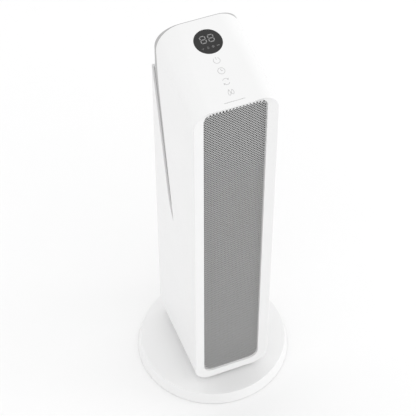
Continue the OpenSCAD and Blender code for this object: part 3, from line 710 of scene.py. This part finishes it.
def outlet_grille():
    """Perforated steel: staggered round holes on a diamond lattice that fills the outlet."""
    across_cells = 41
    up_cells = 262
    hole_r = 1.14 * MM
    back_y = GRILLE_Y + 1.0 * MM
    clearance = 0.05 * MM
    half_w = OPEN_W / 2 - clearance
    low = OPEN_Z0 + clearance
    high = OPEN_Z1 - clearance
    step_x = 2 * half_w / across_cells
    step_z = (high - low) / up_cells
    radius = OPENING_R - clearance

    def node_place(k, r):
        """A lattice point, pulled in to the outlet's round corners; also whether it had to be."""
        x = -half_w + k * step_x
        z = low + r * step_z
        cx = math.copysign(max(0.0, half_w - radius), x)
        cz = min(max(z, low + radius), high - radius)
        if abs(x) > abs(cx) and z != cz:
            away = math.hypot(x - cx, z - cz)
            if away > radius:
                return cx + (x - cx) * radius / away, cz + (z - cz) * radius / away, True
        return x, z, False

    verts = []
    faces = []
    corner_index = {}

    def corner(k, r):
        """The number of a lattice point's front vertex, made on first use, and whether it moved."""
        k = min(max(k, 0), across_cells)
        r = min(max(r, 0), up_cells)
        if (k, r) not in corner_index:
            x, z, outside = node_place(k, r)
            corner_index[(k, r)] = (len(verts), outside)
            verts.append((x, GRILLE_Y, z))
            verts.append((x, back_y, z))
        return corner_index[(k, r)]

    ring = arc(0, 0, 1, 0, 315, 7)

    def holed_cell(points, cx, cz):
        """A cell round one hole, which goes from eight sides in front to four at the back."""
        first = len(verts)
        verts.extend((cx + hole_r * a, GRILLE_Y, cz + hole_r * b) for a, b in ring)
        square = hole_r * math.sqrt(2)
        verts.extend((cx + square * a, back_y, cz + square * b) for a, b in ring[::2])
        for n in range(4):
            m = (n + 1) % 4
            one, middle, two = first + 2 * n, first + 2 * n + 1, first + (2 * n + 2) % 8
            back_one, back_two = first + 8 + n, first + 8 + m
            faces.append((points[n], points[m], two, middle, one))
            faces.append((points[m] + 1, points[n] + 1, back_one, back_two))
            faces.append((one, middle, back_one))
            faces.append((middle, back_two, back_one))
            faces.append((middle, two, back_two))

    for r in range(up_cells + 1):
        for k in range(across_cells + 1):
            if (k + r) % 2 == 0:
                continue
            found = [corner(k + 1, r), corner(k, r + 1), corner(k - 1, r), corner(k, r - 1)]
            points = [p for p, _ in found]
            edge_cell = any(outside for _, outside in found)
            if edge_cell or k in (0, across_cells) or r in (0, up_cells):
                loop = [p for n, p in enumerate(points) if p != points[n - 1]]
                faces.append(loop)
                faces.append([p + 1 for p in reversed(loop)])
            else:
                holed_cell(points, -half_w + k * step_x, low + r * step_z)
    directed = {(f[n - 1], f[n]) for f in faces for n in range(len(f))}
    corners = {p for p, _ in corner_index.values()}
    for a, b in sorted(directed):
        if a in corners and b in corners and (b, a) not in directed:
            faces.append((b, a, a + 1, b + 1))
    mesh = tidy_mesh("outlet_grille", verts, faces)
    place_mesh("outlet_grille", mesh, "tower", "grille_metal", ["front_grille"])
    mesh.set_sharp_from_angle(angle=math.radians(50))


def outlet_comb():
    """The fine comb under the upper lip of the outlet: white teeth, with black blocks between them as
    painted shade of the dark hollow under the lip.
    """
    pitch = 4.3 * MM
    tooth_w = 2.2 * MM
    height = 2.2 * MM
    edge_r = 0.2 * MM
    clear = 0.2 * MM
    drop = 4.7 * MM
    row_drop = drop + height / 2 - 0.1 * MM
    front = 0.1 * MM
    tooth_front = 0.8 * MM
    shade_front = 0.25 * MM
    half = OPEN_W / 2 - OPENING_R
    centre_z = OPEN_Z1 - OPENING_R
    reach = half + OPENING_R * math.radians(38)
    count = int(reach / pitch)
    steps = 24

    def spot(s, down):
        """The point a distance s along the top edge from its middle, moved down, and its lean."""
        lean = math.copysign(max(0.0, abs(s) - half) / OPENING_R, s)
        x = math.copysign(min(abs(s), half), s) + OPENING_R * math.sin(lean)
        return x, centre_z + OPENING_R * math.cos(lean) - down, lean

    def block(name, s, width, depth):
        """A small upright block of the row, whose face stands depth before the steel."""
        x, z, lean = spot(s, row_drop)
        mesh = front_view(prism(name, rounded_box(width, height, edge_r, 2), depth, front))
        mesh.transform(Matrix.Translation((x, GRILLE_Y, z)) @ Matrix.Rotation(lean, 4, "Y"))
        return mesh

    edge = [reach * (i / steps - 1) for i in range(2 * steps + 1)]
    strip = [spot(s, clear)[:2] for s in edge] + [spot(s, drop)[:2] for s in reversed(edge)]
    flange = front_view(prism("flange", strip, front, tooth_front))
    flange.transform(Matrix.Translation((0, GRILLE_Y, 0)))
    teeth = [block("tooth", i * pitch, tooth_w, tooth_front) for i in range(-count, count + 1)]
    # the black blocks between the teeth are painted shade: they stand for the shadowed hollow under the
    # lip
    shade_w = pitch - tooth_w
    shade_blocks = [block("gap", (i + 0.5) * pitch, shade_w, shade_front) for i in range(-count, count)]
    place_mesh("outlet_comb", joined("comb", flange, *teeth), "tower", "white_shell")
    place_mesh("outlet_comb_painted_shade", joined("shade_blocks", *shade_blocks), "tower", "black_plastic")


# ---------- grey inner housing ----------


def band_y(z):
    """Depth of the grey plate's rear face, which curves forward near the top."""
    return BAND_REACH - BAND_DROP * (np.clip(z - BAND_BEND_Z, 0, None) / (TOTAL_H - BAND_BEND_Z)) ** 2


def side_walls():
    """The housing's side walls, seen through the slits."""
    inset = WALL + 0.2 * MM
    front_y = -30 * MM
    top_z = STEP_Z - WALL - 0.2 * MM
    heights = [band_low.z, *[z for z in side_rows() if band_low.z + 5 * MM < z < top_z], top_z]
    past_slit = slit_rear_y(np.maximum(heights, SLIT_TIP_Z)) + 0.9 * MM
    rear_y = np.clip(past_slit, band_high.y, REAR_Y - 1.4 * MM)
    walls = []
    for side in (1, -1):
        strip = Outline()
        for z in heights:
            strip.add(side * SIDE_X, z, side, 0)
        depths = (inset, inset + 2 * MM)
        shares = (0, 0.5, 1)
        grids = [
            np.stack([strip.at(front_y + (rear_y - front_y) * t, depth) for t in shares], axis=1)
            for depth in depths
        ]
        walls.append(tidy_mesh("wall", *between_grids(*grids, closed=False)))
    return walls


def upper_plate():
    """The grey plate that closes the tower above the step and shows as a thin line round its edge."""
    plate = Outline()
    low_z = STEP_Z + 0.2 * MM
    rows = np.linspace(low_z, TOTAL_H - CORNER_R - CROWN_R - 4 * MM, 12)
    for z in rows:
        plate.add(SIDE_X, z, 1, 0)
    plate.corner(SIDE_X, 0, 0, 90, ARC_STEPS, hangs=True)
    plate.corner(-SIDE_X, 0, 90, 180, ARC_STEPS, hangs=True)
    for z in rows[::-1]:
        plate.add(-SIDE_X, z, -1, 0)

    def ring(depth_of, inset, forward):
        """The outline at the depth that suits each point's own height."""
        y = np.full(len(plate.rows), TOP_REACH)
        for _ in range(6):
            y = depth_of(plate.at(y, inset)[:, 2]) - forward
        return plate.at(y, inset)

    rings = [ring(edge_y, BAND_INSET, -0.1 * MM)]
    rings += [ring(band_y, BAND_INSET + inset, fall) for inset, fall in quarter_round(0.9 * MM, 6)]
    return loft("plate", rings, mirrored=True)


def housing():
    """The grey inner housing, as far as it shows."""
    mesh = joined("housing", *side_walls(), upper_plate())
    piece = place_mesh("housing", mesh, "tower", "grey_plastic", ["inner_housing"])
    soften(piece, 0.25 * MM, angle=60)


# ---------- rear panel, louvres and filter ----------

SCREW_X = (screws_high.x - screws_low.x) / 2 - 3 * MM
SCREW_HEIGHTS = (62 * MM, 300 * MM, 512 * MM)
SCREW_SPOTS = [(x, z) for x in (-SCREW_X, SCREW_X) for z in SCREW_HEIGHTS]


def rear_panel():
    """The white rear cover with its intake bay, switch cut-out and screw recesses."""
    outline = Outline()
    outline.corner(SIDE_X, LOW_Z, -90, 0, ARC_STEPS)
    outline.add(SIDE_X, STEP_Z - CORNER_R, 1, 1)
    outline.add(-SIDE_X, STEP_Z - CORNER_R, -1, 1)
    outline.corner(-SIDE_X, LOW_Z, 180, 270, ARC_STEPS)
    lip = 0.35 * MM
    stations = [(PANEL_Y + 0.02 * MM, lip), (PANEL_Y + lip, lip), (PANEL_Y + 0.4 * MM, 0.0)]
    stations += [(REAR_Y - fall, inset) for inset, fall in quarter_round(1.7 * MM, 6)]
    panel = loft("panel", [outline.at(y, d) for y, d in stations])
    cut_rear = -80 * MM
    cut_front = -60 * MM

    def window(name, low, high, gap, radius, steps):
        """A cutter for a round-cornered window, as large as a box seen from behind plus a gap."""
        size = high - low
        shape = rounded_box(size.x + gap, size.z + gap, radius, steps)
        cutter = front_view(prism(name, shape, cut_rear, cut_front))
        cutter.transform(Matrix.Translation((0, 0, (low.z + high.z) / 2)))
        return cutter

    cutters = [
        window("bay", intake_low, intake_high, 0.8 * MM, 8 * MM, 6),
        window("window", *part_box("switch_housing"), 0.0, 0.6 * MM, 2),
    ]
    head_r = 3.3 * MM
    shank_r = 1.7 * MM
    seat = 1.7 * MM - REAR_Y
    profile = [(head_r, cut_rear), (head_r, seat), (shank_r, seat), (shank_r, cut_front)]
    for x, z in SCREW_SPOTS:
        recess = front_view(lathe("recess", profile, 32))
        recess.transform(Matrix.Translation((x, 0, z)))
        cutters.append(recess)
    panel = cut(panel, *cutters)
    ledge_w = BODY_W - 2 * (WALL + 0.2 * MM)
    ledge_y0 = cover_low.y
    ledge_outline = rounded_box(ledge_w, PANEL_Y - ledge_y0 - 0.02 * MM, 1.0 * MM, 3)
    ledge = prism("ledge", ledge_outline, -WALL, 0)
    ledge.transform(Matrix.Translation((0, (ledge_y0 + PANEL_Y) / 2, STEP_Z)))
    mesh = joined("rear_panel", panel, ledge)
    piece = place_mesh("rear_panel", mesh, "tower", "white_shell", ["rear_cover"])
    soften(piece, 0.3 * MM)


def cross_screws():
    """Countersunk cross-head screws in the rear cover."""
    head_r = 2.9 * MM
    face = 0.1 * MM
    slot_l = 3.4 * MM
    slot_w = 0.75 * MM
    profile = [(0.0, 7 * MM), (1.3 * MM, 6.2 * MM), (1.45 * MM, 1.6 * MM), (head_r, 1.5 * MM)]
    profile += [(head_r, 0.5 * MM), (head_r - 0.15 * MM, 0.25 * MM), (head_r - 0.6 * MM, face)]
    profile += [(0.0, 0.02 * MM)]
    heads = []
    for turn, (x, z) in enumerate(SCREW_SPOTS):
        slots = [
            prism("slot", rounded_box(w, h, 0.2 * MM, 2), -1 * MM, 1 * MM)
            for w, h in ((slot_l, slot_w), (slot_w, slot_l))
        ]
        screw = cut(lathe("screw", profile, 32), *slots)
        screw.transform(Matrix.Rotation(math.radians(17 + 41 * turn), 4, "Z"))
        front_view(screw)
        screw.transform(Matrix.Translation((x, REAR_Y - 0.12 * MM, z)))
        heads.append(screw)
    mesh = joined("screws", *heads)
    piece = place_mesh("rear_screws_cross_head", mesh, "tower", "steel", ["rear_screws"])
    soften(piece, 0.08 * MM, segments=1)


def louvre_panel():
    """The intake panel: a frame, slanting slats and two stiffening ribs."""
    width = intake_high.x - intake_low.x
    height = intake_high.z - intake_low.z
    middle_z = (intake_low.z + intake_high.z) / 2
    outer_r = 7.6 * MM
    open_w = 66 * MM
    open_h = height - 2 * 16 * MM
    open_r = 3 * MM
    edge = quarter_round(0.7 * MM, 4)

    def ring(w, h, r, grow, y):
        """The round-cornered frame line, grown by a distance all round, at depth y."""
        return np.array([(a, b, -y) for a, b in rounded_box(w + 2 * grow, h + 2 * grow, r + grow, 6)])

    loops = [ring(width, height, outer_r, 0.0, intake_low.y)]
    for inset, fall in edge:
        loops.append(ring(width, height, outer_r, -inset, REAR_Y - fall))
    for inset, fall in reversed(edge):
        loops.append(ring(open_w, open_h, open_r, inset, REAR_Y - fall))
    loops.append(ring(open_w, open_h, open_r, 0.0, intake_low.y))
    loops.append(loops[0])
    shells = [front_view(loft("louvre_frame", loops, closed_ends=False))]

    pitch = 12 * MM
    count = int(open_h / pitch)
    slat_t = 1.5 * MM
    rise = 3.6 * MM
    overlap = 0.4 * MM
    half = open_w / 2 + overlap
    for i in range(1, count + 1):
        z = (i - (count + 1) / 2) * pitch
        section = [
            (REAR_Y - 0.25 * MM, z - rise / 2),
            (REAR_Y - 0.05 * MM, z - rise / 2 + 0.5 * MM),
            (REAR_Y - 0.25 * MM, z - rise / 2 + slat_t),
            (intake_low.y + 0.1 * MM, z + rise / 2 + slat_t * 0.6),
            (intake_low.y + 0.1 * MM, z + rise / 2 - slat_t * 0.4),
        ]
        shells.append(loft("slat", [np.array([(x, y, h) for y, h in section]) for x in (-half, half)]))
    rib = rounded_box(1.6 * MM, 1.0 * MM, 0.3 * MM, 2)
    rib_y = intake_low.y + 0.55 * MM
    rib_z = open_h / 2 + overlap
    for x in (-open_w / 6, open_w / 6):
        ends = [np.array([(x + a, rib_y + b, z) for a, b in rib]) for z in (-rib_z, rib_z)]
        shells.append(loft("rib", ends))
    mesh = joined("louvre_panel", *shells)
    mesh.transform(Matrix.Translation((0, 0, middle_z)))
    piece = place_mesh("louvre_panel", mesh, "filter", "white_shell", ["intake_grille"])
    soften(piece, 0.15 * MM)


def crossed_threads(name, low, high, thread, pitch, inset):
    """A net of upright threads with level threads laid behind them, inside a box."""
    verts = []
    faces = []
    margin = 0.2 * MM

    sides = [(0, 1, 3, 2), (4, 6, 7, 5), (0, 4, 5, 1), (2, 3, 7, 6), (0, 2, 6, 4), (1, 5, 7, 3)]

    def bar(start, end):
        """One square thread between two opposite corners."""
        first = len(verts)
        for x in (start[0], end[0]):
            for y in (start[1], end[1]):
                for z in (start[2], end[2]):
                    verts.append((x, y, z))
        faces.extend([first + v for v in side] for side in sides)

    y = (low.y + high.y) / 2
    for x in np.arange(low.x + inset, high.x - inset, pitch):
        bar((x, y - thread, low.z + margin), (x + thread, y, high.z - margin))
    for z in np.arange(low.z + inset, high.z - inset, pitch):
        bar((low.x + margin, y, z), (high.x - margin, y + thread, z + thread))
    return tidy_mesh(name, verts, faces)


def air_screen():
    """The fine black net right behind the perforated steel."""
    net_low, net_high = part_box("air_screen")
    mesh = crossed_threads("air_screen_net", net_low, net_high, 0.36 * MM, 0.66 * MM, 0.3 * MM)
    place_mesh("air_screen_net", mesh, "tower", "filter_cloth", ["air_screen"])


def dust_net():
    """The filter's net: crossing nylon threads behind the louvres."""
    net_low, net_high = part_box("filter_mesh")
    mesh = crossed_threads("dust_net", net_low, net_high, 0.42 * MM, 1.9 * MM, 3 * MM)
    place_mesh("dust_net", mesh, "filter", "filter_cloth", ["filter_mesh"])
    mesh.set_sharp_from_angle(angle=math.radians(40))


# ---------- touch panel ----------


def display():
    """Smoked round lens, flush with the panel."""
    r = DISPLAY_R - 0.12 * MM
    edge_r = 0.35 * MM
    top = -0.06 * MM
    profile = [(0.0, -WALL), (r, -WALL), *arc(r - edge_r, top - edge_r, edge_r, 0, 90, 6)]
    profile += [(r * 0.5, top + 0.01 * MM), (0.0, top + 0.015 * MM)]
    lens = on_panel(lathe("lens", profile, 96), DISPLAY_ALONG)
    place_mesh("display_lens", lens, "tower", "display_glass", ["display_window"])
    lens.set_sharp_from_angle(angle=math.radians(50))


def segment_digit(cx, cy, w, h, stroke):
    """The seven bars of a figure 8, as thin mitred solids."""
    low, high = -0.05 * MM, 0.0
    x, y = w / 2 - stroke / 2, h / 2 - stroke / 2
    gap = stroke * 0.62
    bars = []
    for height in (-y, 0.0, y):
        bars.append([(-x + gap, height), (x - gap, height)])
    for side in (-x, x):
        bars.append([(side, gap), (side, y - gap)])
        bars.append([(side, -gap), (side, -y + gap)])
    return [ribbon([(cx + a, cy + b) for a, b in bar], stroke, low, high) for bar in bars]


def digits():
    """Two figure eights, which are all of the display's bars."""
    shells = []
    for cx in (-5.1 * MM, 5.1 * MM):
        shells += segment_digit(cx, 3.9 * MM, 7.6 * MM, 11.2 * MM, 1.15 * MM)
    mesh = on_panel(joined("display_digits", *shells), DISPLAY_ALONG)
    place_mesh("display_digits", mesh, "tower", "display_glass", material=SEGMENT)


def symbols():
    """Four small plain signs under the digits: a fan, a flame, a clock and a swing arrow."""
    low, high = -0.05 * MM, 0.0
    line = 0.5 * MM
    cy = -8.5 * MM
    shells = []

    def draw(cx, path, closed=False):
        """A stroke in millimetres about the sign's middle."""
        points = [(cx + x * MM, cy + y * MM) for x, y in path]
        shells.append(ribbon(points, line, low, high, closed))

    for turn in (0, 120, 240):
        blade = [
            (r * math.cos(math.radians(turn + bend)), r * math.sin(math.radians(turn + bend)))
            for r, bend in ((0.3, 0), (0.9, 18), (1.5, 48))
        ]
        draw(-9.6 * MM, blade)
    drop = [(0, 1.6), (0.9, 0.4), (0.8, -0.9), (0, -1.4), (-0.8, -0.9), (-0.9, 0.4)]
    draw(-3.1 * MM, drop, closed=True)
    draw(3.3 * MM, arc(0, 0, 1.3, 0, 345, 14), closed=True)
    draw(3.3 * MM, [(0, 0.8), (0, 0), (0.6, 0)])
    draw(9.8 * MM, [(-1.6, 0), (1.6, 0)])
    draw(9.8 * MM, [(-0.9, 0.7), (-1.6, 0), (-0.9, -0.7)])
    draw(9.8 * MM, [(0.9, 0.7), (1.6, 0), (0.9, -0.7)])
    mesh = on_panel(joined("display_symbols", *shells), DISPLAY_ALONG)
    place_mesh("display_symbols", mesh, "tower", "display_glass", material=SYMBOL)


def touch_marks():
    """Printed signs of the four touch keys: heat, swing, timer and power, from the front."""
    low, high = -0.03 * MM, 0.02 * MM
    line = 0.62 * MM
    scale = 1.18 * MM
    shells = []

    def draw(key, path, closed=False):
        """A stroke of one key's sign, keys counted from the front."""
        points = [(x * scale, y * scale) for x, y in path]
        stroke = ribbon(points, line, low, high, closed)
        shells.append(on_panel(stroke, KEY_FIRST + key * KEY_PITCH))

    flame = [(0.2, 3.6), (1.0, 2.2), (1.3, 0.7), (1.25, -1.0), (0.7, -2.5), (-0.3, -3.2)]
    flame += [(-1.3, -2.4), (-1.6, -0.9), (-1.3, 0.6), (-0.5, 2.0)]
    for shift, tall in ((-1.75, 1), (1.75, 0.86)):
        draw(0, [(x * 0.95 + shift, y * tall) for x, y in flame], closed=True)
    draw(1, arc(0, -0.4, 3.4, 205, 335, 14))
    draw(1, arc(0, 0.4, 3.4, 25, 155, 14))
    draw(1, [(1.5, 2.3), (3.1, 1.8), (3.3, 3.3)])
    draw(1, [(-1.5, -2.3), (-3.1, -1.8), (-3.3, -3.3)])
    draw(2, arc(0, 0, 3.7, 0, 350, 28), closed=True)
    draw(2, [(0, 2.3), (0, 0), (1.7, 0)])
    draw(3, arc(0, -0.3, 3.5, 125, 415, 24))
    draw(3, [(0, 0.6), (0, 3.9)])
    mesh = joined("touch_marks", *shells)
    place_mesh("touch_marks", mesh, "tower", "light_grey_print", ["touch_icons"])


def status_light():
    """A pale light guide that fills the slot near the panel's front edge."""
    gap = 0.1 * MM
    outline = rounded_box(STATUS_W - gap, STATUS_H - gap, STATUS_H / 2.3, 5)
    mesh = on_panel(prism("status", outline, -WALL, -0.12 * MM), STATUS_ALONG)
    place_mesh("status_light", mesh, "tower", "light_grey_print", ["status_window"], GUIDE)


# ---------- base ----------


def base():
    """The round white foot: a flat top, a sloping side and the mains lead's hole at its rear."""
    r = base_high.x
    top = base_high.z
    bottom = base_low.z
    edge_r = 0.9 * MM
    lip_r = 0.3 * MM
    slope = math.atan((r - BASE_TOP_R) / (top - bottom))
    edge_x = BASE_TOP_R - edge_r * (1 - math.sin(slope)) / math.cos(slope)
    profile = [(BASE_BORE_R, top - BASE_WALL), (BASE_BORE_R, top - lip_r), (BASE_BORE_R + lip_r, top)]
    profile += [(60 * MM, top), (edge_x - 1 * MM, top)]
    profile += arc(edge_x, top - edge_r, edge_r, 90, math.degrees(slope), 6)
    profile += [((r + BASE_TOP_R) / 2, (top + bottom) / 2), (r - 0.2 * MM, bottom + 1 * MM)]
    profile += arc(r - lip_r - 0.05 * MM, bottom + lip_r, lip_r, 0, -90, 3)
    profile += [(r - BASE_WALL, bottom), (r - BASE_WALL, bottom + 4 * MM)]
    profile += [(BASE_TOP_R - BASE_WALL, top - BASE_WALL)]
    mesh = lathe("base", profile, 192, closed=True)
    gland_low, gland_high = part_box("cord_gland")
    hole_r = 5.05 * MM
    hole = front_view(lathe("hole", [(hole_r, -120 * MM), (hole_r, -95 * MM)], 40))
    hole.transform(Matrix.Translation((0, 0, (gland_low.z + gland_high.z) / 2)))
    mesh = cut(mesh, hole)
    piece = place_mesh("base_foot", mesh, "base", "white_shell", ["base_cover"])
    mesh.set_sharp_from_angle(angle=math.radians(50))
    even_shading(piece)


# ---------- CAD nodes that stay ----------

CAD_FINISHES = {
    "grey_plastic": ["base_plate", "pivot_post", "swivel_hub", "filter_frame"],
    "black_plastic": [
        "tip_switch_body", "glide_ring", "board_parts", "scroll_duct", "duct_tongue",
        "thermal_cutout", "fan_wheel", "switch_housing", "rocker",
    ],
    "rubber": ["rubber_feet", "bearing_rubber", "cord_gland", "mains_lead_in"],
    "steel": [
        "base_screws", "post_clip", "tip_spring", "touch_springs", "hub_screws", "swing_bracket",
        "swing_shaft", "motor_bracket", "motor_rotor", "fan_shaft",
    ],
    "cast_ballast": ["ballast_ring"],
    "aluminium": ["swing_motor", "fan_motor", "heater_fins", "thermal_fuse"],
    "brass": ["upper_bearing", "heater_terminals"],
    "ceramic": ["ptc_elements"],
    "mica": ["heater_frame", "upper_bracket"],
    "circuit_board": ["display_board", "power_board"],
    "white_pom": ["tip_plunger", "ring_gear", "swing_pinion", "display_module"],
    "wire_insulation": ["wiring_loom"],
}
SHARP_EDGED = [
    "switch_housing", "rocker", "cord_gland", "rubber_feet", "filter_frame", "glide_ring", "base_plate",
]


def finish_cad_nodes():
    """Gives every CAD node that stays its material, and a rounded edge where it shows."""
    for slot, names in CAD_FINISHES.items():
        for name in names:
            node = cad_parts[name]
            node.data.materials.clear()
            node.data.materials.append(SLOTS[slot])
    for name in SHARP_EDGED:
        soften(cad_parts[name], 0.25 * MM, angle=40, weld=True)


# ---------- stage ----------


def studio():
    """White room: an even white sky, a soft key light from the right front and a pale floor."""
    scene = bpy.context.scene
    world = bpy.data.worlds.new("white_room")
    scene.world = world
    world.use_nodes = True
    sky = world.node_tree.nodes["Background"]
    sky.inputs["Color"].default_value = (1, 1, 1, 1)
    sky.inputs["Strength"].default_value = 1.105
    scene.view_settings.view_transform = "Standard"

    key = bpy.data.lights.new("key", "AREA")
    key.shape = "DISK"
    key.size = 1.4
    key.energy = 24
    lamp = linked("key", key)
    lamp.location = (3.7, -1.5, 0.75)
    aim = Vector((0, 0, 0.3)) - lamp.location
    lamp.rotation_euler = aim.to_track_quat("-Z", "Y").to_euler()

    finish = Finish("pale_floor", grey(0.891), 0.6)
    finish.colours(finish.noise(0.4, 2.0), grey(0.888), grey(0.894))
    finish.rough(finish.noise(0.05, 3.0), 0.5, 0.62)
    finish.relief(finish.noise(1.5 * MM, 2.0), 0.01 * MM)
    floor_mesh = bpy.data.meshes.new("floor")
    half = 30
    corners = [(-half, -half, 0), (half, -half, 0), (half, half, 0), (-half, half, 0)]
    floor_mesh.from_pydata(corners, [], [(0, 1, 2, 3)])
    floor_mesh.materials.append(finish.material)
    linked("floor", floor_mesh)


def camera():
    """A long lens high on the left front, looking down at the tower."""
    azimuth = math.radians(-21.69)
    elevation = math.radians(49.34)
    eye = bpy.data.cameras.new("camera")
    eye.lens = 131.7
    eye.sensor_width = 36
    eye.clip_start = 0.05
    eye.clip_end = 100
    seen = linked("camera", eye)
    level = math.cos(elevation)
    back = Vector((math.sin(azimuth) * level, -math.cos(azimuth) * level, math.sin(elevation)))
    seen.location = (-0.4975, -1.2314, 1.8513)
    seen.rotation_euler = (-back).to_track_quat("-Z", "Y").to_euler()
    bpy.context.scene.camera = seen


camera()
studio()
finish_cad_nodes()
shell()
outlet_grille()
outlet_comb()
air_screen()
housing()
rear_panel()
cross_screws()
louvre_panel()
dust_net()
display()
digits()
symbols()
touch_marks()
status_light()
base()
